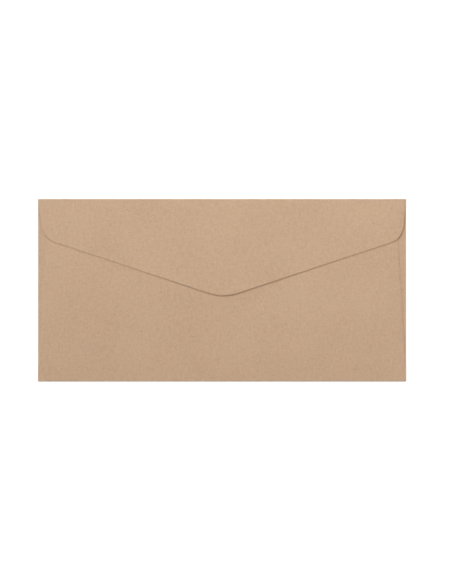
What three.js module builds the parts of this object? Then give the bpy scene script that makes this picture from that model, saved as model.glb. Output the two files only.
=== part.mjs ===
// A DL envelope in kraft paper, empty and closed, lying on its front with the seal flap on top.
//
// Millimetres, +Z up. The origin is on the surface the envelope lies on, under its middle. +X runs along
// the long side, and +Y runs towards the top fold, where the seal flap is hinged.
//
// The real envelope is one die-cut sheet and three films of adhesive. The sheet is divided here at its
// creases: flat panels, and the rolled strip of paper that joins each panel to the next.

import * as THREE from 'three';

// Envelope, outside
const LENGTH = 220;
const HEIGHT = 109.2;

// Sheet and films
const PAPER = 0.16; // kraft of about 120 g/m2
const SEAM_GLUE = 0.04; // film between a side flap and the back panel
const GUM = 0.04; // dried gum on the seal flap

// Room between layers
const POCKET_ROOM = 0.3; // front panel to side flap, where the creases spring open a little
const FLAP_REST = 0.3; // back panel to closed seal flap

// Seal flap, with depths taken from the top edge of the envelope
const FLAP_POINT_DEPTH = 59.3; // where the two slanting edges would meet if the tip were sharp
const FLAP_TIP_RADIUS = 28;
const FLAP_SHOULDER_DEPTH = 23.5; // where a side edge and a slanting edge would meet
const FLAP_SHOULDER_INSET = 1.4; // from the end of the envelope, at that depth
const FLAP_SHOULDER_RADIUS = 13.5;

// Gum band, which follows the slanting edges of the seal flap
const GUM_MARGIN = 3; // bare paper between the flap's edge and the gum
const GUM_WIDTH = 13;
const GUM_END_INSET = 12; // from the end of the envelope
const GUM_END_RADIUS = 4;

// Back panel
const THROAT_DEPTH = 19; // from the top edge of the envelope down to the panel's free edge
const BACK_STRAIGHT = 8.7; // how far up from the bottom edge the panel is as long as the envelope
const BACK_THROAT_INSET = 5; // from the end of the envelope, at the throat
const THROAT_CORNER_RADIUS = 7;

// Side flaps
const SIDE_FLAP_WIDTH = 20; // from the end of the envelope
const SIDE_FLAP_TOP_ANGLE = 35; // how steeply the top end is cut back, in degrees
const SIDE_FLAP_BOTTOM_ANGLE = 20;
const SIDE_FLAP_CORNER_RADIUS = 4;
const NOTCH = 0.3; // gap along the end between a side fold and the folds above and below it
const SEAM_MARGIN = 3; // bare paper round the seam glue

// Fineness of round stretches
const CORNER_SEGMENTS = 10;
const FOLD_SEGMENTS = 8;

// Heights of the undersides of the layers
const sideFlapZ = PAPER + POCKET_ROOM;
const seamGlueZ = sideFlapZ + PAPER;
const backZ = seamGlueZ + SEAM_GLUE;
const sealFlapZ = backZ + PAPER + FLAP_REST;
const gumZ = sealFlapZ - GUM;

// Each fold is a half roll that is as tall as the layers it goes round
const sideFoldRadius = (sideFlapZ + PAPER) / 2;
const bottomFoldRadius = (backZ + PAPER) / 2;
const topFoldRadius = (sealFlapZ + PAPER) / 2;

// Edges of the envelope, and the lines where its folds run out into flat paper
const endX = LENGTH / 2;
const topY = HEIGHT / 2;
const bottomY = -HEIGHT / 2;
const panelEndX = endX - sideFoldRadius;
const panelTopY = topY - topFoldRadius;
const panelBottomY = bottomY + bottomFoldRadius;

const kraft = { color: 0xc3a488, roughness: 0.9, metalness: 0 };
const kraftCrease = { color: 0xbd9d80, roughness: 0.9, metalness: 0 };
const seamGlue = { color: 0xd9cbb2, roughness: 0.5, metalness: 0 };
const driedGum = { color: 0xc9a97a, roughness: 0.3, metalness: 0 };

const degrees = THREE.MathUtils.degToRad;

const xy = (x, y, radius = 0) => ({ point: new THREE.Vector2(x, y), radius });

// A closed outline through corners listed anticlockwise, each rounded to its radius. A radius gives way
// where the edges beside its corner are too short for it.
function roundedOutline(corners) {
  const outline = new THREE.Shape();
  const count = corners.length;
  corners.forEach(({ point, radius }, i) => {
    const before = corners[(i + count - 1) % count].point.clone().sub(point);
    const after = corners[(i + 1) % count].point.clone().sub(point);
    const startWith = i === 0 ? 'moveTo' : 'lineTo';
    if (radius === 0) {
      outline[startWith](point.x, point.y);
      return;
    }
    const halfAngle = Math.acos(before.dot(after) / (before.length() * after.length())) / 2;
    const room = Math.min(before.length(), after.length()) / 2;
    const tangent = Math.min(radius / Math.tan(halfAngle), room);
    const fitted = tangent * Math.tan(halfAngle);
    const turnsLeft = after.cross(before) > 0;
    const start = point.clone().addScaledVector(before.normalize(), tangent);
    const end = point.clone().addScaledVector(after.normalize(), tangent);
    const inward = before.add(after).normalize();
    const centre = point.clone().addScaledVector(inward, fitted / Math.sin(halfAngle));
    const startAngle = start.clone().sub(centre).angle();
    const endAngle = end.clone().sub(centre).angle();
    outline[startWith](start.x, start.y);
    outline.absarc(centre.x, centre.y, fitted, startAngle, endAngle, !turnsLeft);
  });
  outline.closePath();
  return outline;
}

// A flat piece with its underside at the given height.
function layer(name, outline, underside, thickness, look) {
  const shape = new THREE.ExtrudeGeometry(outline, {
    depth: thickness,
    bevelEnabled: false,
    curveSegments: CORNER_SEGMENTS,
  });
  const mesh = new THREE.Mesh(shape, new THREE.MeshStandardMaterial(look));
  mesh.name = name;
  mesh.position.z = underside;
  return mesh;
}

const UP = new THREE.Vector3(0, 0, 1);
const TOWARDS = {
  left: new THREE.Vector3(-1, 0, 0),
  right: new THREE.Vector3(1, 0, 0),
  top: new THREE.Vector3(0, 1, 0),
  bottom: new THREE.Vector3(0, -1, 0),
};
const QUARTER = Math.PI / 2;

// The strip of paper that rolls over at an edge of the envelope. Its section is part of a ring that bulges
// outward, measured from level: from -QUARTER, flat on the front panel, to QUARTER, flat above it.
function fold(name, outward, edge, radius, length, from = -QUARTER, to = QUARTER) {
  const ring = new THREE.Shape();
  ring.absarc(0, 0, radius, from, to, false);
  ring.absarc(0, 0, radius - PAPER, to, from, true);
  ring.closePath();
  const strip = new THREE.ExtrudeGeometry(ring, {
    depth: length,
    bevelEnabled: false,
    curveSegments: FOLD_SEGMENTS,
  });
  strip.translate(0, 0, -length / 2);
  const along = new THREE.Vector3().crossVectors(outward, UP);
  strip.applyMatrix4(new THREE.Matrix4().makeBasis(outward, UP, along));
  const mesh = new THREE.Mesh(strip, new THREE.MeshStandardMaterial(kraftCrease));
  mesh.name = name;
  mesh.position.copy(outward).multiplyScalar(edge - radius);
  mesh.position.z = radius;
  return mesh;
}

function frontPanel() {
  const outline = roundedOutline([
    xy(-panelEndX, panelBottomY),
    xy(panelEndX, panelBottomY),
    xy(panelEndX, panelTopY),
    xy(-panelEndX, panelTopY),
  ]);
  return layer('front_panel', outline, 0, PAPER, kraft);
}

// The back panel is as long as the bottom fold at first, then narrows to the throat.
const backThroatX = endX - BACK_THROAT_INSET;
const throatY = topY - THROAT_DEPTH;
const backTaperY = bottomY + BACK_STRAIGHT;

function backPanel() {
  const outline = roundedOutline([
    xy(-endX, panelBottomY),
    xy(endX, panelBottomY),
    xy(endX, backTaperY),
    xy(backThroatX, throatY, THROAT_CORNER_RADIUS),
    xy(-backThroatX, throatY, THROAT_CORNER_RADIUS),
    xy(-endX, backTaperY),
  ]);
  return layer('back_panel', outline, backZ, PAPER, kraft);
}

// A side flap is joined along a side fold, and its two ends are cut back.
const sideFlapInnerX = endX - SIDE_FLAP_WIDTH;
const sideFoldTopY = panelTopY - NOTCH;
const sideFoldBottomY = panelBottomY + NOTCH;
const sideFlapReach = panelEndX - sideFlapInnerX;
const sideFlapTopY = sideFoldTopY - sideFlapReach * Math.tan(degrees(SIDE_FLAP_TOP_ANGLE));
const sideFlapBottomY = sideFoldBottomY + sideFlapReach * Math.tan(degrees(SIDE_FLAP_BOTTOM_ANGLE));

function sideFlap(name, side) {
  const corners = [
    xy(panelEndX, sideFoldBottomY),
    xy(panelEndX, sideFoldTopY),
    xy(sideFlapInnerX, sideFlapTopY, SIDE_FLAP_CORNER_RADIUS),
    xy(sideFlapInnerX, sideFlapBottomY, SIDE_FLAP_CORNER_RADIUS),
  ];
  return layer(name, roundedOutline(onSide(corners, side)), sideFlapZ, PAPER, kraft);
}

// The glue lies where a side flap and the back panel overlap, inside both.
function seam(name, side) {
  const outerX = backThroatX - SEAM_MARGIN;
  const innerX = sideFlapInnerX + SEAM_MARGIN;
  const lowY = sideFlapBottomY + SEAM_MARGIN;
  const highY = Math.min(sideFlapTopY, throatY) - SEAM_MARGIN;
  const corners = [xy(outerX, lowY), xy(outerX, highY), xy(innerX, highY), xy(innerX, lowY)];
  return layer(name, roundedOutline(onSide(corners, side)), seamGlueZ, SEAM_GLUE, seamGlue);
}

// Corners of a right-hand piece, or of its mirror image on the left, listed in the same turning sense.
function onSide(corners, side) {
  if (side === 'right') return corners;
  return corners.map(({ point, radius }) => xy(-point.x, point.y, radius)).reverse();
}

// The straight edges of the seal flap: down each side to the shoulder, then slanting to the middle.
const flapShoulder = new THREE.Vector2(endX - FLAP_SHOULDER_INSET, topY - FLAP_SHOULDER_DEPTH);
const flapPoint = new THREE.Vector2(0, topY - FLAP_POINT_DEPTH);
const flapSlope = Math.atan2(flapShoulder.y - flapPoint.y, flapShoulder.x);

function sealFlap() {
  const outline = roundedOutline([
    xy(-endX, panelTopY),
    xy(-flapShoulder.x, flapShoulder.y, FLAP_SHOULDER_RADIUS),
    xy(flapPoint.x, flapPoint.y, FLAP_TIP_RADIUS),
    xy(flapShoulder.x, flapShoulder.y, FLAP_SHOULDER_RADIUS),
    xy(endX, panelTopY),
  ]);
  return layer('seal_flap', outline, sealFlapZ, PAPER, kraft);
}

// A chevron of gum under the flap, parallel to its slanting edges.
function flapGum() {
  const gumEndX = endX - GUM_END_INSET;
  const lineAt = (inset, x) => flapPoint.y + inset / Math.cos(flapSlope) + x * Math.tan(flapSlope);
  const lower = GUM_MARGIN;
  const upper = GUM_MARGIN + GUM_WIDTH;
  const rightHalf = [
    xy(gumEndX, lineAt(lower, gumEndX), GUM_END_RADIUS),
    xy(gumEndX, lineAt(upper, gumEndX), GUM_END_RADIUS),
  ];
  const outline = roundedOutline([
    xy(0, lineAt(lower, 0), FLAP_TIP_RADIUS - GUM_MARGIN),
    ...rightHalf,
    xy(0, lineAt(upper, 0), FLAP_TIP_RADIUS - GUM_MARGIN),
    ...onSide(rightHalf, 'left'),
  ]);
  return layer('flap_gum', outline, gumZ, GUM, driedGum);
}

const sideFoldLength = sideFoldTopY - sideFoldBottomY;

const sideFoldAt = (name, outward) => {
  const strip = fold(name, outward, endX, sideFoldRadius, sideFoldLength);
  strip.position.y = (sideFoldTopY + sideFoldBottomY) / 2;
  return strip;
};

// The pocket is everything that stays put when the flap is opened.
const pocket = new THREE.Group();
pocket.name = 'pocket';
pocket.add(
  frontPanel(),
  fold('bottom_fold', TOWARDS.bottom, topY, bottomFoldRadius, LENGTH),
  sideFoldAt('left_fold', TOWARDS.left),
  sideFoldAt('right_fold', TOWARDS.right),
  fold('top_fold_panel_half', TOWARDS.top, topY, topFoldRadius, LENGTH, -QUARTER, 0),
  sideFlap('left_side_flap', 'left'),
  sideFlap('right_side_flap', 'right'),
  seam('left_seam_glue', 'left'),
  seam('right_seam_glue', 'right'),
  backPanel(),
);

// The flap turns about the outermost line of the top fold, so the fold is divided along that line.
const flap = new THREE.Group();
flap.name = 'flap';
flap.add(
  fold('top_fold_flap_half', TOWARDS.top, topY, topFoldRadius, LENGTH, 0, QUARTER),
  sealFlap(),
  flapGum(),
);

const envelope = new THREE.Group();
envelope.name = 'envelope';
envelope.add(pocket, flap);

export default envelope;
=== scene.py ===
# %% [markdown]
# # A kraft paper envelope
# This lesson dresses the frame of a long envelope, 220 mm by 109 mm, that lies on its front with the closed
# seal flap on top. The envelope is one die-cut sheet of brown kraft paper, folded and glued at the ends,
# with a band of dried gum under the flap. The frame gives every leaf and fold its true size and place. Here
# each leaf is modelled again as thin paper that sags and cockles a little, as real paper does.

# %% The frame and its size
import math
from collections import namedtuple

import bpy
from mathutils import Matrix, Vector, noise


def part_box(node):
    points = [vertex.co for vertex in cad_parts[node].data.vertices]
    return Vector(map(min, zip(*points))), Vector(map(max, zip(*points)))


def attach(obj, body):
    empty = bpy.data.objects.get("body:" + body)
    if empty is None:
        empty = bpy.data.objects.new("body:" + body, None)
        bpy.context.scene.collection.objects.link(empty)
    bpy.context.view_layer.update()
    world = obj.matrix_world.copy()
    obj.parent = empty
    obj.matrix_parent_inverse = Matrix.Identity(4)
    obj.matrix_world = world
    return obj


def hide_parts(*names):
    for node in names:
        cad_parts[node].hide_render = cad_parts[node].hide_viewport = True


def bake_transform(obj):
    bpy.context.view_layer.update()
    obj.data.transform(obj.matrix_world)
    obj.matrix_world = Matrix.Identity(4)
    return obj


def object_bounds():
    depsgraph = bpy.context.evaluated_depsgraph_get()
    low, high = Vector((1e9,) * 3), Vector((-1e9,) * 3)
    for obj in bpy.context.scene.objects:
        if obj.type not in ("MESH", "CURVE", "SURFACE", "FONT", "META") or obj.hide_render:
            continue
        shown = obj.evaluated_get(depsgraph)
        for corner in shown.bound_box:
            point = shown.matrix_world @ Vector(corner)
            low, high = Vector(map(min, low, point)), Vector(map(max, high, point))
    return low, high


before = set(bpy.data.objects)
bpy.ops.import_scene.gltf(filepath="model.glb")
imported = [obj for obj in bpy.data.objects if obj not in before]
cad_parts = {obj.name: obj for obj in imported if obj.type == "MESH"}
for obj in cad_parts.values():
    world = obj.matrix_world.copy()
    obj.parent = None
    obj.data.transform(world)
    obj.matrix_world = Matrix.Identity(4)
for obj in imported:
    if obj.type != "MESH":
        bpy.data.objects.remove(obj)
cad_low, cad_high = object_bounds()
bpy.context.scene.view_settings.view_transform = "Standard"

MM = 0.001
LEFT, RIGHT = Vector((-1, 0, 0)), Vector((1, 0, 0))
TOP, BOTTOM, UP = Vector((0, 1, 0)), Vector((0, -1, 0)), Vector((0, 0, 1))
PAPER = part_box("seal_flap")[1].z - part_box("seal_flap")[0].z
print("envelope", [round(side / MM, 2) for side in cad_high - cad_low], "mm")
print("paper", round(PAPER / MM, 3), "mm thick")

# %% [markdown]
# ## The view
# The photograph looks straight down on the envelope, so both pairs of edges are parallel in it and the
# camera needs no tilt. An orthographic view would do too, but a photograph is taken through a lens, and a
# long one from further off keeps the thin stack of layers almost free of perspective. The camera's distance
# follows from how long the envelope is in the picture, and a small step sideways puts the envelope as far
# off the picture's middle as it is in the photograph.

# %% The camera
PHOTO_WIDTH, PHOTO_HEIGHT = 452, 584
ENVELOPE_PIXELS = 367.7
ENVELOPE_MIDDLE = (222.0, 290.18)
SENSOR, LENS = 36.0, 85.0

# The sensor's 36 mm lie along the longer side of the picture, which is its height.
pixel = (cad_high.x - cad_low.x) / ENVELOPE_PIXELS
distance = PHOTO_HEIGHT * pixel * LENS / SENSOR
bpy.ops.object.camera_add(
    location=(
        (PHOTO_WIDTH / 2 - ENVELOPE_MIDDLE[0]) * pixel,
        (ENVELOPE_MIDDLE[1] - PHOTO_HEIGHT / 2) * pixel,
        distance,
    )
)
camera = bpy.context.object
camera.data.sensor_width = SENSOR
camera.data.lens = LENS
bpy.context.scene.camera = camera
print("camera", round(distance, 3), "m above the table,", round(pixel / MM, 4), "mm to a pixel")

# %% [markdown]
# ## One piece at a time
# Operators act on whatever is selected, so each step starts by letting go of everything. A finished piece
# has its place in its mesh and its object at the origin. A piece could also keep its place in its object,
# but then its vertices would not say where the paper lies, and sag, folds and patterns all ask for that.

# %% Selecting and settling
def select_only(piece):
    bpy.ops.object.select_all(action="DESELECT")
    piece.select_set(True)
    bpy.context.view_layer.objects.active = piece


def settle(piece):
    """Moves the object's place, turn and size into its mesh."""
    select_only(piece)
    bpy.ops.object.transform_apply(location=True, rotation=True, scale=True)


# %% [markdown]
# ## The folds
# The sheet turns over at its four edges. Each fold is a half roll whose radius is half the height of the
# layers that it closes round. These sizes could be typed in, but they are read from the frame, so that the
# dressed envelope still fits when someone makes the frame longer or thicker.

# %% The four folds
Fold = namedtuple("Fold", "outward line radius")


def fold_from(outward, *nodes):
    """A fold's outward side, the line where the flat front leaf ends, and the outer radius of its roll."""
    boxes = [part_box(node) for node in nodes]
    radius = (max(high.z for _, high in boxes) - min(low.z for low, _ in boxes)) / 2
    edge = max(max(outward.dot(low), outward.dot(high)) for low, high in boxes)
    return Fold(outward, edge - radius, radius)


top = fold_from(TOP, "top_fold_panel_half", "top_fold_flap_half")
bottom = fold_from(BOTTOM, "bottom_fold")
left = fold_from(LEFT, "left_fold")
right = fold_from(RIGHT, "right_fold")
for name, fold in (("top", top), ("bottom", bottom), ("left", left), ("right", right)):
    print(name, "fold: roll radius", round(fold.radius / MM, 3), "mm")

# %% [markdown]
# ## The sheet before it was folded
# Real kraft paper is made as one web, so its clouds, fibres and flecks run on across a fold and are
# different on each leaf. A pattern in space would show the same marks on the flap and on the leaf below it.
# A map of the flat sheet is truer: every piece notes where its paper lay before folding, in metres, and the
# paper's pattern reads that map. A fold takes up as much of the sheet as the length of its half roll.

# %% The map of the flat sheet
SHEET_MAP = "flat_sheet"


def before_folding(point, fold, in_roll):
    """Where a point of a roll, or of the leaf turned over at that fold, lay on the flat sheet."""
    out = fold.outward.dot(point)
    middle_of_paper = fold.radius - PAPER / 2
    if in_roll:
        turned = math.atan2(max(out - fold.line, 0.0), fold.radius - point.z)
        flat = fold.line + middle_of_paper * turned
    else:
        flat = fold.line + middle_of_paper * math.pi + (fold.line - out)
    return point + fold.outward * (flat - out)


def map_to_sheet(piece, fold=None, in_roll=False):
    """Notes for each corner of each face where its paper lay. The front leaf has no fold: it never turned."""
    mesh = piece.data
    while mesh.uv_layers:
        mesh.uv_layers.remove(mesh.uv_layers[0])
    layer = mesh.uv_layers.new(name=SHEET_MAP)
    for corner in mesh.loops:
        point = mesh.vertices[corner.vertex_index].co
        place = before_folding(point, fold, in_roll) if fold else point
        layer.data[corner.index].uv = place.xy


# %% [markdown]
# ## Kraft paper
# Kraft is made from long, unbleached softwood fibres, here with some recycled pulp. The eye reads a warm,
# slightly pink tan that is never even: soft clouds where fibres have flocked together, a fine grain, faint
# streaks along the machine direction, and a few dark specks of bark and old print. The surface is matt,
# with a very low relief. A scan of one sheet would show it too, but only that sheet. Noise at real sizes, on
# the map of the flat sheet, makes new paper of the same kind. These helpers turn colours and add nodes.

# %% Colours and nodes
def linear(hex_colour):
    """An sRGB hex value as the linear colour that a shader takes."""
    parts = [int(hex_colour[start : start + 2], 16) / 255 for start in (0, 2, 4)]
    return [part / 12.92 if part <= 0.04045 else ((part + 0.055) / 1.055) ** 2.4 for part in parts] + [1.0]


def add(tree, kind, inputs=None, **settings):
    """Adds a node. Each of its inputs takes a value or the output that feeds it."""
    node = tree.nodes.new("ShaderNode" + kind)
    for setting, value in settings.items():
        setattr(node, setting, value)
    for name, value in (inputs or {}).items():
        if isinstance(value, bpy.types.NodeSocket):
            tree.links.new(value, node.inputs[name])
        else:
            node.inputs[name].default_value = value
    return node


def new_material(name):
    material = bpy.data.materials.new(name)
    material.use_nodes = True
    tree = material.node_tree
    return material, tree, tree.nodes["Principled BSDF"]


def total(tree, values):
    """Adds up several outputs."""
    result = values[0]
    for value in values[1:]:
        result = add(tree, "Math", {0: result, 1: value}, operation="ADD").outputs[0]
    return result


# %% [markdown]
# ## The paper's tone
# On the paper machine the fibres settle on a moving wire. They flock together in soft clouds and are drawn
# into faint streaks. One noise with many levels of detail would mix all sizes alike, but in the photograph
# most of the unevenness is one or two millimetres wide. So each size is a noise of its own, with its own
# share of the tone.

# %% Clouds, grain and streaks
# Size in millimetres of each pattern, and how far it moves the tone between dark and light kraft.
CLOUDS = ((40.0, 0.21), (9.0, 0.05))
GRAIN = ((3.4, 0.10), (1.7, 0.27), (0.9, 0.43))
# Size along the envelope and up it in millimetres, and how far it moves the tone. The streaks stand upright
# in the picture, and the flocked fibres lie along the envelope.
STREAKS = (0.8, 6.0, 0.30)
FLOCKED_FIBRES = (4.0, 1.0, 0.08)
MEAN_TONE = 0.5


def drawn_out_noise(tree, place, across, up, detail=2.0, distortion=0.0):
    """Noise whose patches measure across by up, in millimetres."""
    drawn_out = add(tree, "Mapping", {"Vector": place, "Scale": (1 / (across * MM), 1 / (up * MM), 1.0)})
    character = {"Scale": 1.0, "Detail": detail, "Distortion": distortion}
    return add(tree, "TexNoise", {"Vector": drawn_out.outputs[0], **character}).outputs["Fac"]


def paper_tone(tree, sheet):
    """The paper's tone at each place of the sheet: 0.5 is its mean, 0 dark and 1 light."""
    patterns = []
    for size, share in CLOUDS + GRAIN:
        soft = add(tree, "TexNoise", {"Vector": sheet, "Scale": 1 / (size * MM), "Detail": 1.0})
        patterns.append((soft.outputs["Fac"], share))
    for across, up, share in (STREAKS, FLOCKED_FIBRES):
        patterns.append((drawn_out_noise(tree, sheet, across, up), share))
    changes = []
    for pattern, share in patterns:
        change = add(tree, "Math", {0: pattern, 1: share, 2: -share / 2}, operation="MULTIPLY_ADD")
        changes.append(change.outputs[0])
    return add(tree, "Math", {0: total(tree, changes), 1: MEAN_TONE}, operation="ADD").outputs[0]


# %% [markdown]
# ## Single fibres
# Here and there a single pale fibre lies on top of the sheet. They could be laid on it as thousands of thin
# curves, but nobody would see their thickness. Noise that is drawn out along one direction has long narrow
# crests, and only these crests are kept. Three directions together look like none.

# %% Long fibres
# Width and length in millimetres, and the direction in degrees. A softwood fibre is about 2.5 mm long but
# only 0.04 mm wide. It is drawn twice as wide, because a finer line doesn't show.
LONG_FIBRES = ((0.09, 2.6, 20.0), (0.08, 2.2, 75.0), (0.08, 2.4, 130.0))
FIBRE_WAVINESS = 0.4
# The noise's value where a fibre begins, and where it is at its palest.
FIBRE_EDGE, FIBRE_CREST = 0.58, 0.74
LONG_FIBRE_TONE = 0.26
# What the fibres add to the tone on average is taken off again.
LONG_FIBRE_MEAN = 0.055


def long_fibres(tree, sheet):
    """Single fibres lying in a few directions, about 1 on a fibre and 0 between the fibres."""
    found = []
    for width, length, direction in LONG_FIBRES:
        angle = math.radians(direction)
        turned = add(tree, "VectorRotate", {"Vector": sheet, "Angle": angle}, rotation_type="Z_AXIS")
        strands = drawn_out_noise(tree, turned.outputs[0], width, length, distortion=FIBRE_WAVINESS)
        crests = {"Value": strands, "From Min": FIBRE_EDGE, "From Max": FIBRE_CREST}
        found.append(add(tree, "MapRange", crests).outputs[0])
    return total(tree, found)


# %% [markdown]
# ## Specks
# Bark, and print from recycled paper, leave a few dark specks. They could be dotted on by hand, one by one.
# Voronoi cells do it over the whole sheet, because each cell comes with a random number: a few of the cells
# win a speck, each of its own size. A round dot would look printed, so noise makes the outline ragged.

# %% Bark and print
# For large and small specks: the side of the cells they lie in and their largest radius, in millimetres,
# and the share of the cells that hold one.
SPECKS = ((8.0, 0.34, 0.10), (3.0, 0.14, 0.12))
# How far the outline is pushed about, as a share of the largest radius, and the notches' size in millimetres.
SPECK_RAGGEDNESS, RAGGED_NOTCH = 0.5, 0.35
# The soft rim, as a share of the largest radius.
SPECK_RIM = 0.25


def specks(tree, sheet):
    """1 inside a speck, 0 elsewhere. Only a small share of the cells holds one, each of its own size."""
    rough = add(tree, "TexNoise", {"Vector": sheet, "Scale": 1 / (RAGGED_NOTCH * MM), "Detail": 1.0})
    found = []
    for spacing, size, share in SPECKS:
        largest = size / spacing
        reach = SPECK_RAGGEDNESS * size * MM
        pushed = {0: rough.outputs["Color"], 1: (2 * reach, 2 * reach, 0.0), 2: sheet}
        ragged = add(tree, "VectorMath", pushed, operation="MULTIPLY_ADD")
        grid = {"Vector": ragged.outputs[0], "Scale": 1 / (spacing * MM)}
        cells = add(tree, "TexVoronoi", grid, voronoi_dimensions="2D")
        chance = add(tree, "SeparateColor", {"Color": cells.outputs["Color"]})
        lot = {"Value": chance.outputs[0], "From Min": 1 - share, "To Max": largest}
        radius = add(tree, "MapRange", lot)
        depth = {0: radius.outputs[0], 1: cells.outputs["Distance"]}
        inside = add(tree, "Math", depth, operation="SUBTRACT")
        rim = {"Value": inside.outputs[0], "From Max": largest * SPECK_RIM}
        found.append(add(tree, "MapRange", rim).outputs[0])
    return add(tree, "Math", {0: found[0], 1: found[1]}, operation="MAXIMUM").outputs[0]


# %% [markdown]
# ## The paper's three finishes
# The same paper looks a little different where it was creased, and quite different where it was cut. The
# cut edge's darker, more orange colour is partly the raw cut and partly painted shade for the warm dark line
# along the flap's edge. One material with masks could hold all three, but then each piece would need a mask.
# Here one function makes the paper, and the finishes differ in their colours and in the height of the relief.

# %% Plain, creased and cut paper
KRAFT_DARK, KRAFT_LIGHT = linear("B08F76"), linear("D4BCA1")
CREASE_DARK, CREASE_LIGHT = linear("AD8C73"), linear("D6BFA5")
# The cut edge's colours are darker and more orange than the raw cut alone: partly painted shade, which shows
# from above as the dark line along the flap's edge.
CUT_DARK_AND_SHADE, CUT_LIGHT_AND_SHADE = linear("A07652"), linear("CB9E77")
SPECK_BROWN = linear("866A54")
# The relief's size in millimetres, and its height on each finish.
FINE_RELIEF = 0.30
KRAFT_RELIEF, CREASE_RELIEF, CUT_RELIEF = 0.035 * MM, 0.06 * MM, 0.08 * MM

# Uncoated paper hardly shines. Light goes a little way into it and comes out again, red furthest, and that
# softens the narrow dark line under the flap.
PAPER_SURFACE = {
    "Roughness": 0.88,
    "Diffuse Roughness": 0.3,
    "Specular IOR Level": 0.25,
    "Subsurface Weight": 0.6,
    "Subsurface Radius": (1.0, 0.8, 0.6),
    "Subsurface Scale": 0.25 * MM,
}


def kraft_paper(name, dark, light, relief_height):
    material, tree, shader = new_material(name)
    sheet = add(tree, "UVMap", uv_map=SHEET_MAP).outputs[0]
    lighter = {0: long_fibres(tree, sheet), 1: LONG_FIBRE_TONE, 2: -LONG_FIBRE_MEAN}
    fibres = add(tree, "Math", lighter, operation="MULTIPLY_ADD").outputs[0]
    tone = total(tree, (paper_tone(tree, sheet), fibres))
    colour = add(tree, "Mix", {0: tone, 6: dark, 7: light}, data_type="RGBA").outputs[2]
    speckled = add(tree, "Mix", {0: specks(tree, sheet), 6: colour, 7: SPECK_BROWN}, data_type="RGBA")
    tree.links.new(speckled.outputs[2], shader.inputs["Base Color"])
    relief = add(tree, "TexNoise", {"Vector": sheet, "Scale": 1 / (FINE_RELIEF * MM), "Detail": 3.0})
    raised = {"Height": relief.outputs["Fac"], "Strength": 1.0, "Distance": relief_height}
    tree.links.new(add(tree, "Bump", raised).outputs[0], shader.inputs["Normal"])
    for socket, value in PAPER_SURFACE.items():
        shader.inputs[socket].default_value = value
    return material


# As it comes off the paper machine: a matt, slightly pink tan with a fine even tooth.
kraft = kraft_paper("uncoated_kraft_paper", KRAFT_DARK, KRAFT_LIGHT, KRAFT_RELIEF)
# Pressed over a creasing rule: the fibres stand up a little, so the tone varies more.
crease = kraft_paper("creased_kraft_paper", CREASE_DARK, CREASE_LIGHT, CREASE_RELIEF)
# Cut by a steel die: the raw inside of the sheet, rougher than its faces. It is darker and more orange
# partly by itself and partly as painted shade for the line under the flap's edge.
cut_edge_and_shade = kraft_paper("die_cut_kraft_edge_and_painted_shade", CUT_DARK_AND_SHADE, CUT_LIGHT_AND_SHADE, CUT_RELIEF)
print("materials", [material.name for material in (kraft, crease, cut_edge_and_shade)])

# %% [markdown]
# ## A leaf of paper
# A leaf is a part of the sheet that ends at a fold or a cut. Its outline could be drawn as one face, but one
# face can't sag. So a leaf starts as a fine grid over its box in the frame, which is then trimmed along
# each upright face of its solid, and so gets the same straight edges and rounded corners.

# %% Making a leaf
GRID = 1.6 * MM
# Vertices nearer to a cut than this, in metres, count as on it. The usual 0.1 mm is too coarse for paper.
TRIM_TOLERANCE = 1e-7
# A face is upright if its normal leans up or down by less than this.
UPRIGHT = 0.01


def upright_faces(node):
    """The different upright planes of a CAD node, each as a point on it and its normal."""
    planes = {}
    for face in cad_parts[node].data.polygons:
        if abs(face.normal.z) < UPRIGHT and face.area > 0:
            normal = Vector((face.normal.x, face.normal.y, 0)).normalized()
            plane = (round(normal.x, 4), round(normal.y, 4), round(normal.dot(face.center), 6))
            planes[plane] = (face.center.copy(), normal)
    return list(planes.values())


def new_leaf(name, node):
    low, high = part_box(node)
    size, middle = high - low, (high + low) / 2
    bpy.ops.object.select_all(action="DESELECT")
    bpy.ops.mesh.primitive_grid_add(
        x_subdivisions=round(size.x / GRID),
        y_subdivisions=round(size.y / GRID),
        size=1,
        location=(middle.x, middle.y, low.z),
    )
    leaf = bpy.context.object
    leaf.name = leaf.data.name = name
    leaf.scale = (size.x, size.y, 1)
    settle(leaf)
    bpy.ops.object.mode_set(mode="EDIT")
    for point, normal in upright_faces(node):
        bpy.ops.mesh.select_all(action="SELECT")
        bpy.ops.mesh.bisect(
            plane_co=point, plane_no=normal, clear_outer=True, threshold=TRIM_TOLERANCE
        )
    bpy.ops.object.mode_set(mode="OBJECT")
    return leaf


def shape_leaf(leaf, height):
    for vertex in leaf.data.vertices:
        vertex.co.z += height(vertex.co.x, vertex.co.y)


# %% [markdown]
# ## Thickness and cut edges
# The sheet is 0.16 mm thick, and its die-cut edges are the raw inside of the paper. Extruding the grid would
# give a thickness too, but Solidify keeps it even where the leaf is curved, and gives the rim a material of
# its own. A steel die also drags the paper's faces over the cut, so that edge is rounded a little, but never
# where the paper goes on in a fold. The rounding takes the cut edge's colour, so from above it shows as a thin
# line that is partly painted shade.

# %% Giving a leaf its thickness
CUT_ROUNDING = 0.05 * MM
SMOOTH_UP_TO = math.radians(40)


def give_thickness(piece, thickness, offset):
    """Turns a surface into paper: the cut edge all round takes the piece's second material."""
    select_only(piece)
    bpy.ops.object.modifier_add(type="SOLIDIFY")
    solidify = piece.modifiers[-1]
    solidify.thickness = thickness
    solidify.offset = offset
    solidify.use_even_offset = True
    solidify.material_offset_rim = 1
    bpy.ops.object.modifier_apply(modifier=solidify.name)


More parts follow.
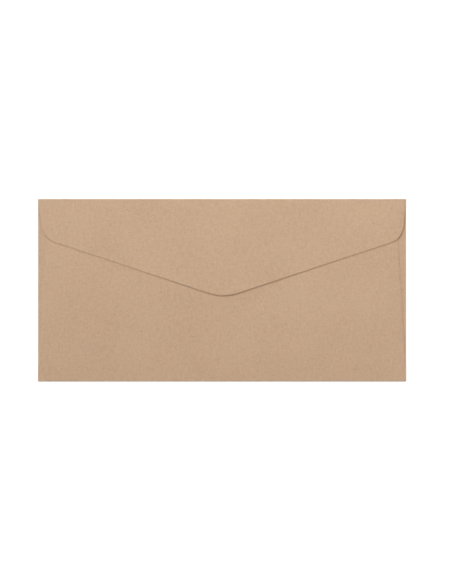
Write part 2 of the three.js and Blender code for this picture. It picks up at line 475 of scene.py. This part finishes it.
def soften_cut(piece, width, is_joined):
    """Rounds the sharp lines of a cut, except where is_joined says that the paper goes on in a fold."""
    mesh = piece.data
    face_lines, cut_lines = set(), set()
    for face in mesh.polygons:
        (cut_lines if face.material_index else face_lines).update(face.edge_keys)
    select_only(piece)
    bpy.ops.object.mode_set(mode="EDIT")
    bpy.ops.mesh.select_mode(type="EDGE")
    bpy.ops.mesh.select_all(action="DESELECT")
    bpy.ops.object.mode_set(mode="OBJECT")
    for edge in mesh.edges:
        start, end = [mesh.vertices[index].co for index in edge.vertices]
        if edge.key in face_lines and edge.key in cut_lines and not is_joined((start + end) / 2):
            edge.select = True
    bpy.ops.object.mode_set(mode="EDIT")
    bpy.ops.mesh.bevel(offset=width, segments=2, affect="EDGES", material=1)
    bpy.ops.object.mode_set(mode="OBJECT")


def shade_smooth(piece):
    select_only(piece)
    bpy.ops.object.shade_smooth_by_angle(angle=SMOOTH_UP_TO)


# %% Finishing a leaf
FOLD_MARGIN = 0.01 * MM


def finish_leaf(leaf, body, node, fold=None, folds=()):
    """Makes paper of a shaped grid. It was turned over at the one fold, or the several folds start from it."""
    joined = folds or (fold,)

    def is_joined(place):
        return any(each.outward.dot(place) > each.line - FOLD_MARGIN for each in joined)

    map_to_sheet(leaf, fold)
    leaf.data.materials.clear()
    for material in (kraft, cut_edge_and_shade):
        leaf.data.materials.append(material)
    give_thickness(leaf, PAPER, 1)
    soften_cut(leaf, CUT_ROUNDING, is_joined)
    shade_smooth(leaf)
    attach(leaf, body)
    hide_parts(node)
    print(leaf.name, len(leaf.data.polygons), "faces, rides on", body)


# %% [markdown]
# ## How the paper lies
# The front leaf is pressed flat by the envelope's weight. The back leaf is held up by the glued side flaps
# and by the bottom fold, and sags a little over the empty pocket. The flap droops towards its point, while
# its ends and short side edges stand up a little. Every leaf also cockles: damp air swells the fibres
# unevenly, and leaves waves a few centimetres long and a few hundredths of a millimetre high. A cloth
# simulation suits larger folds. Bends as small as these are better set: each leaf has a function that says
# how high its paper lies at each place.

# %% Soft steps and cockle
COCKLE, COCKLE_LENGTH = 0.04 * MM, 38 * MM
COCKLE_RUN = 20 * MM
# A number for each leaf, and how far apart in the noise the waves of two leaves lie.
BACK_WAVES, FRONT_WAVES, FLAP_WAVES = 1, 2, 3
WAVES_APART = 3.7


def smooth_step(value, start, end):
    """Rises softly from 0 at the start to 1 at the end."""
    share = min(1.0, max(0.0, (value - start) / (end - start)))
    return share * share * (3 - 2 * share)


def cockle(x, y, leaf_number):
    """Waves of a leaf, from -1 to 1. Each leaf has waves of its own."""
    return noise.noise(Vector((x / COCKLE_LENGTH, y / COCKLE_LENGTH, WAVES_APART * leaf_number)))


print("cockle", COCKLE / MM, "mm high, about", round(COCKLE_LENGTH / MM), "mm long")

# %% The heights of the front and the back leaf
# How deep the sag is, where it starts and ends inwards from a side flap, and its run up from the fold.
SAG, SAG_START, SAG_END, SAG_RISE = 0.34 * MM, 18 * MM, 90 * MM, 34 * MM

side_flap_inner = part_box("right_side_flap")[0].x


def front_height(x, y):
    """The front leaf lies on the table, so it can only rise, and two thirds as high as a free leaf."""
    inside = smooth_step(right.line - abs(x), 0, COCKLE_RUN) * smooth_step(y + bottom.line, 0, COCKLE_RUN)
    inside *= smooth_step(top.line - y, 0, COCKLE_RUN)
    return COCKLE * inside * (1 + cockle(x, y, FRONT_WAVES)) / 3


def back_height(x, y):
    """The back leaf lies close under the flap, so it can only sink."""
    in_from_end, up_from_fold = side_flap_inner - abs(x), y + bottom.line
    sag = SAG * smooth_step(in_from_end, SAG_START, SAG_END) * smooth_step(up_from_fold, 0, SAG_RISE)
    free = smooth_step(in_from_end, 0, COCKLE_RUN) * smooth_step(up_from_fold, 0, COCKLE_RUN)
    return COCKLE * free * (cockle(x, y, BACK_WAVES) - 1) / 2 - sag


print("the back leaf sags by up to", SAG / MM, "mm over the pocket")

# %% [markdown]
# ## The leaves of the pocket
# The front leaf is the address side, and the other leaves turn over from it. The side flaps lie flat,
# because the glue holds them. The four could be cut from one grid and folded up with a bend, but each leaf
# is a node of its own in the frame, and leaves that are made apart can be checked apart.

# %% The front, the back and the side flaps
front = new_leaf("front_leaf", "front_panel")
shape_leaf(front, front_height)
finish_leaf(front, "pocket", "front_panel", folds=(top, bottom, left, right))

back = new_leaf("back_leaf", "back_panel")
shape_leaf(back, back_height)
finish_leaf(back, "pocket", "back_panel", bottom)

for name, node, fold in (
    ("left_end_flap", "left_side_flap", left),
    ("right_end_flap", "right_side_flap", right),
):
    finish_leaf(new_leaf(name, node), "pocket", node, fold)

# %% [markdown]
# ## The seal flap
# The flap closes the envelope with its blunt V. In the photograph its point lies about 0.8 mm right of the
# middle, because the sheet was folded slightly off centre, and its short side edges lie a little further in
# than the ends of the fold. The solid in the frame is symmetric. It could be redrawn, but so small a shift
# is easier to see and to change as a drift of the paper over the flap, which starts at nothing at the fold.

# %% The flap's height and drift
# The droop towards the point, and how far the two ends and the short side edges stand up, each with its run.
FLAP_DROOP, FLAP_DROOP_RUN = 0.18 * MM, 28 * MM
END_LIFT, END_LIFT_START, END_LIFT_RISE = 0.10 * MM, 80 * MM, 10 * MM
SIDE_LIFT, SIDE_LIFT_RISE = 0.15 * MM, (2 * MM, 10 * MM)
# How far to the right the side edges and the point lie, and how far in the side edges are tucked.
SIDE_DRIFT, SIDE_TUCK, SIDE_RUN = 0.3 * MM, 0.6 * MM, 12 * MM
POINT_DRIFT, POINT_RUN = 0.8 * MM, (16 * MM, 26 * MM)
# Distance from the middle over which the side edges' lift and tuck come in, and from the fold over which
# they go out again, at the shoulders.
LIFT_IN, LIFT_OUT = (98 * MM, 108.6 * MM), (17 * MM, 26 * MM)
TUCK_IN, TUCK_OUT = (96 * MM, 107 * MM), (17 * MM, 24 * MM)


def flap_height(x, y):
    """How much higher the flap's paper lies than in the frame."""
    from_fold = top.line - y
    droop = FLAP_DROOP * smooth_step(from_fold, 0, FLAP_DROOP_RUN)
    near_end = smooth_step(abs(x), END_LIFT_START, right.line) * smooth_step(from_fold, 0, END_LIFT_RISE)
    near_side = smooth_step(abs(x), *LIFT_IN) * (1 - smooth_step(from_fold, *LIFT_OUT))
    lift = END_LIFT * near_end + SIDE_LIFT * near_side * smooth_step(from_fold, *SIDE_LIFT_RISE)
    return COCKLE * smooth_step(from_fold, 0, COCKLE_RUN) * cockle(x, y, FLAP_WAVES) + lift - droop


def flap_drift(x, y):
    """How far the flap's paper lies to the right of its place in the frame."""
    from_fold = top.line - y
    sides = smooth_step(from_fold, 0, SIDE_RUN)
    point = smooth_step(from_fold, *POINT_RUN)
    near_side = smooth_step(abs(x), *TUCK_IN) * (1 - smooth_step(from_fold, *TUCK_OUT))
    drift = SIDE_DRIFT * sides + (POINT_DRIFT - SIDE_DRIFT) * point
    return drift - math.copysign(SIDE_TUCK * sides * near_side, x)


# %% The flap
flap = new_leaf("closing_flap", "seal_flap")
shape_leaf(flap, flap_height)
for vertex in flap.data.vertices:
    vertex.co.x += flap_drift(vertex.co.x, vertex.co.y)
finish_leaf(flap, "flap", "seal_flap", top)

# %% [markdown]
# ## The folds of the pocket
# At these edges the sheet rolls over in a half round, 0.6 to 0.8 mm across. Spinning a short line would
# make it too. A roll starts as an open cylinder along the edge here, because its radius is then plain to
# read. It is cut in half, and given the paper's thickness on its inside.

# %% Making a roll
ROLL_SIDES = 48


def new_roll(name, fold, *nodes):
    boxes = [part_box(node) for node in nodes]
    low = Vector(min(box[0][axis] for box in boxes) for axis in range(3))
    high = Vector(max(box[1][axis] for box in boxes) for axis in range(3))
    along = UP.cross(fold.outward)
    length = abs(along.dot(high - low))
    middle = fold.outward * fold.line + along * along.dot((low + high) / 2)
    middle.z = low.z + fold.radius
    bpy.ops.object.select_all(action="DESELECT")
    bpy.ops.mesh.primitive_cylinder_add(
        vertices=ROLL_SIDES,
        radius=fold.radius,
        depth=length,
        end_fill_type="NOTHING",
        location=middle,
        rotation=along.to_track_quat("Z", "Y").to_euler(),
    )
    roll = bpy.context.object
    roll.name = roll.data.name = name
    settle(roll)
    bpy.ops.object.mode_set(mode="EDIT")
    bpy.ops.mesh.select_all(action="SELECT")
    bpy.ops.mesh.bisect(
        plane_co=middle, plane_no=fold.outward, clear_inner=True, threshold=TRIM_TOLERANCE
    )
    bpy.ops.object.mode_set(mode="OBJECT")
    map_to_sheet(roll, fold, in_roll=True)
    roll.data.materials.clear()
    for material in (crease, cut_edge_and_shade):
        roll.data.materials.append(material)
    give_thickness(roll, PAPER, -1)
    shade_smooth(roll)
    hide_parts(*nodes)
    print(name, len(roll.data.polygons), "faces,", round(length / MM, 1), "mm long")
    return roll


# %% The bottom, left and right fold
for name, fold, node in (
    ("bottom_crease", bottom, "bottom_fold"),
    ("left_crease", left, "left_fold"),
    ("right_crease", right, "right_fold"),
):
    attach(new_roll(name, fold, node), "pocket")

# %% [markdown]
# ## The top fold
# The top fold is the flap's hinge. It is two nodes in the frame, one on each side of the hinge line, and
# they part when the flap opens. Paper doesn't part, so here it is one roll over both nodes. Each end of the
# roll lies in line with its leaf. The points on the inner faces of the two leaves at the fold are worked out,
# and the height between them is printed.

# %% The top crease
top_crease = new_roll("top_crease", top, "top_fold_panel_half", "top_fold_flap_half")
underside_of_flap = TOP * top.line + UP * (2 * top.radius - PAPER)
inside_of_front = TOP * top.line + UP * PAPER
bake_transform(top_crease)
inner_height = (underside_of_flap - inside_of_front).length
print("the top crease bends over", round(inner_height / MM, 2), "mm of its height")

# %% [markdown]
# ## The seam glue
# Two strips of starch glue hold the back leaf on the side flaps. They are films of 0.04 mm out of sight
# between two leaves, so the solids of the frame are good enough as they are, and only get the material of
# set glue: a pale, slightly uneven skin with a dull sheen.

# %% Set glue
GLUE_CREAM, GLUE_PALE = linear("CDBEA2"), linear("E2D6BF")
# The size in millimetres of the uneven patches.
GLUE_UNEVENNESS = 1.5


def set_glue(name):
    material, tree, shader = new_material(name)
    place = add(tree, "TexCoord").outputs["Object"]
    skin = add(tree, "TexNoise", {"Vector": place, "Scale": 1 / (GLUE_UNEVENNESS * MM), "Detail": 2.0})
    tones = {0: skin.outputs["Fac"], 6: GLUE_CREAM, 7: GLUE_PALE}
    colour = add(tree, "Mix", tones, data_type="RGBA").outputs[2]
    tree.links.new(colour, shader.inputs["Base Color"])
    shader.inputs["Roughness"].default_value = 0.5
    return material


glue = set_glue("set_starch_glue")
for node in ("left_seam_glue", "right_seam_glue"):
    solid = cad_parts[node]
    solid.data.materials.clear()
    solid.data.materials.append(glue)
    print(node, "is", glue.name)

# %% [markdown]
# ## The gum under the flap
# The flap carries a band of dried gum that follows its two slanting edges. It goes on wet from a roller, so
# it has a soft sheen, fine lines along the flap and an edge that wavers. It could be painted on the flap as
# a colour, but it is a film with a thickness that shows when the flap is open. So the band is a straight
# grid, bent into the chevron of its solid, that sags and drifts just as the flap above it does.

# %% Dried gum
GUM_HONEY, GUM_PALE = linear("9E7C54"), linear("B08F66")
# The roller's lines, in millimetres along the flap and across it.
GUM_LINE_LENGTH, GUM_LINE_WIDTH = 22.0, 0.9
GUM_LINE_HEIGHT, GUM_LINE_SHARE = 0.02 * MM, 0.4


def dried_gum(name):
    """Clear honey-brown gum, with about the IOR of dextrin, and much glossier than the paper."""
    material, tree, shader = new_material(name)
    sheet = add(tree, "UVMap", uv_map=SHEET_MAP).outputs[0]
    lines = drawn_out_noise(tree, sheet, GUM_LINE_LENGTH, GUM_LINE_WIDTH, detail=3.0)
    colour = add(tree, "Mix", {0: lines, 6: GUM_HONEY, 7: GUM_PALE}, data_type="RGBA").outputs[2]
    tree.links.new(colour, shader.inputs["Base Color"])
    raised = {"Height": lines, "Strength": GUM_LINE_SHARE, "Distance": GUM_LINE_HEIGHT}
    tree.links.new(add(tree, "Bump", raised).outputs[0], shader.inputs["Normal"])
    shader.inputs["Roughness"].default_value = 0.34
    shader.inputs["IOR"].default_value = 1.48
    return material


gum = dried_gum("remoistenable_gum")
print("material", gum.name)

# %% Where the gum lies
gum_low, gum_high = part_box("flap_gum")
gum_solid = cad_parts["flap_gum"].data
gum_lines = [[gum_solid.vertices[index].co for index in edge.vertices] for edge in gum_solid.edges]


def gum_between(x):
    """The lowest and highest y of the gum band at one place along the flap."""
    crossings = []
    for start, end in gum_lines:
        if min(start.x, end.x) <= x <= max(start.x, end.x) and start.x != end.x:
            crossings.append(start.y + (end.y - start.y) * (x - start.x) / (end.x - start.x))
    return min(crossings), max(crossings)


gum_size, gum_middle = gum_high - gum_low, (gum_high + gum_low) / 2
print("gum", [round(side / MM, 2) for side in gum_size], "mm")

# %% The gum band
GUM_GRID, GUM_ROWS = 1.0 * MM, 14
GUM_WAVER, GUM_WAVER_LENGTH = 0.2 * MM, 9 * MM
# Two places far apart in the noise, one for each long edge of the band.
WAVER_PLACES = ((3, 0.5), (8, 0.5))
# The band stops this much short of the solid's ends, so that each of its columns crosses the outline.
GUM_INSET = 0.05 * MM

bpy.ops.object.select_all(action="DESELECT")
bpy.ops.mesh.primitive_grid_add(
    x_subdivisions=round(gum_size.x / GUM_GRID),
    y_subdivisions=GUM_ROWS,
    size=1,
    location=(gum_middle.x, 0.5, gum_low.z),
)
gum_band = bpy.context.object
gum_band.name = gum_band.data.name = "gum_band"
gum_band.scale = (gum_size.x - 2 * GUM_INSET, 1, 1)
settle(gum_band)
for vertex in gum_band.data.vertices:
    x, share = vertex.co.x, vertex.co.y
    low_y, high_y = gum_between(x)
    waver = [GUM_WAVER * noise.noise(Vector((x / GUM_WAVER_LENGTH, *place))) for place in WAVER_PLACES]
    vertex.co.y = (low_y + waver[0]) * (1 - share) + (high_y + waver[1]) * share
    vertex.co.z += flap_height(x, vertex.co.y)
    vertex.co.x += flap_drift(vertex.co.x, vertex.co.y)
map_to_sheet(gum_band, top)
gum_band.data.materials.append(gum)
give_thickness(gum_band, gum_size.z, 1)
shade_smooth(gum_band)
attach(gum_band, "flap")
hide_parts("flap_gum")
print("gum band", len(gum_band.data.polygons), "faces, film", round(gum_size.z / MM, 3), "mm thick")

# %% [markdown]
# ## The table
# The envelope was photographed on a plain white ground. More light on a white table would make it pure
# white, but the paper would get too bright as well. So the ground glows a little, only for the camera, and
# takes the rest of its brightness from the lamps, which leaves the faint shadow along the right and lower
# edges. Real paper touches a table only here and there, and what stands up on the closed flap turns down
# when it is open. That is why the ground lies a quarter of a millimetre below the envelope.

# %% The ground
GROUND_SIZE = 6.0
AIR_UNDER = 0.27 * MM
GROUND_WHITE = (0.9, 0.9, 0.9, 1)
# How much of what the camera sees is glow, its strength, and a tint that evens out the tint of the lamps.
GROUND_GLOW, GLOW_LEVEL, GLOW_COLOUR = 0.45, 1.43, (1.0, 1.02, 1.06, 1.0)


def seen_by_camera(tree):
    """1 for what the camera sees straight on, by reflection or through glass, and 0 for all other light."""
    path = add(tree, "LightPath")
    seen = path.outputs["Is Camera Ray"]
    for ray in ("Is Glossy Ray", "Is Transmission Ray"):
        seen = add(tree, "Math", {0: seen, 1: path.outputs[ray]}, operation="MAXIMUM").outputs[0]
    return seen


def white_ground(name):
    """Matt white card without any sheen."""
    material, tree, shader = new_material(name)
    shader.inputs["Base Color"].default_value = GROUND_WHITE
    shader.inputs["Roughness"].default_value = 0.9
    shader.inputs["Specular IOR Level"].default_value = 0.0
    glow = add(tree, "Emission", {"Color": GLOW_COLOUR, "Strength": GLOW_LEVEL})
    bright = add(tree, "MixShader", {0: GROUND_GLOW, 1: shader.outputs[0], 2: glow.outputs[0]})
    choice = add(tree, "MixShader", {0: seen_by_camera(tree), 1: shader.outputs[0], 2: bright.outputs[0]})
    tree.links.new(choice.outputs[0], tree.nodes["Material Output"].inputs["Surface"])
    return material


bpy.ops.object.select_all(action="DESELECT")
bpy.ops.mesh.primitive_plane_add(size=GROUND_SIZE, location=(0, 0, -AIR_UNDER))
ground = bpy.context.object
ground.name = "ground"
ground.data.materials.append(white_ground("matt_white_ground"))
print("ground", GROUND_SIZE, "m wide,", AIR_UNDER / MM, "mm below the envelope")

# %% [markdown]
# ## The light
# The photograph has soft light from all round. The narrow dark line under the flap, strongest on the right,
# shows that more of it comes from the left and a little from the top. One large panel could give that line,
# but only a distant lamp gives it alike all along the flap. A broad panel beyond the top edge makes the upper
# half a little brighter than the lower. The distant lamp is cooler than white and the surroundings warmer,
# so paper in full light keeps its colour while the line turns browner.

# %% The lamps
KEY_ELEVATION, KEY_HEADING, KEY_STRENGTH, KEY_SPREAD = 36.0, -20.0, 2.05, 78.0
KEY_TINT = (0.86, 1.0, 1.15)
PANEL_PLACE, PANEL_SIZE, PANEL_WATTS = Vector((0.02, 0.35, 0.4)), 0.35, 1.6
PANEL_TINT = (0.98, 1.0, 1.01)


def facing_envelope(place):
    """The turn of a lamp at that place that makes it shine on the middle of the envelope."""
    return place.to_track_quat("Z", "Y").to_euler()


elevation, heading = math.radians(KEY_ELEVATION), math.radians(KEY_HEADING)
towards_key = Vector(
    (
        -math.cos(elevation) * math.cos(heading),
        -math.cos(elevation) * math.sin(heading),
        math.sin(elevation),
    )
)
bpy.ops.object.light_add(type="SUN", location=towards_key, rotation=facing_envelope(towards_key))
key = bpy.context.object
key.name = "key_from_upper_left"
key.data.energy = KEY_STRENGTH
key.data.angle = math.radians(KEY_SPREAD)
key.data.color = KEY_TINT

bpy.ops.object.light_add(type="AREA", location=PANEL_PLACE, rotation=facing_envelope(PANEL_PLACE))
panel = bpy.context.object
panel.name = "panel_beyond_top_edge"
panel.data.size = PANEL_SIZE
panel.data.energy = PANEL_WATTS
panel.data.color = PANEL_TINT
print("lamps", [lamp.name for lamp in (key, panel)])

# %% The white room
SURROUND, SURROUND_TINT = 0.31, (1.235, 1.0, 0.715, 1.0)
PLAIN_WHITE = (1, 1, 1, 1)

world = bpy.data.worlds.new("white_room")
world.use_nodes = True
bpy.context.scene.world = world
room = world.node_tree
seen = seen_by_camera(room)
strength = add(room, "MapRange", {"Value": seen, "To Min": SURROUND, "To Max": 1.0})
tint = add(room, "Mix", {0: seen, 6: SURROUND_TINT, 7: PLAIN_WHITE}, data_type="RGBA")
room.links.new(tint.outputs[2], room.nodes["Background"].inputs["Color"])
room.links.new(strength.outputs[0], room.nodes["Background"].inputs["Strength"])
print("the room lights the envelope at", SURROUND, "of the white that it shows")
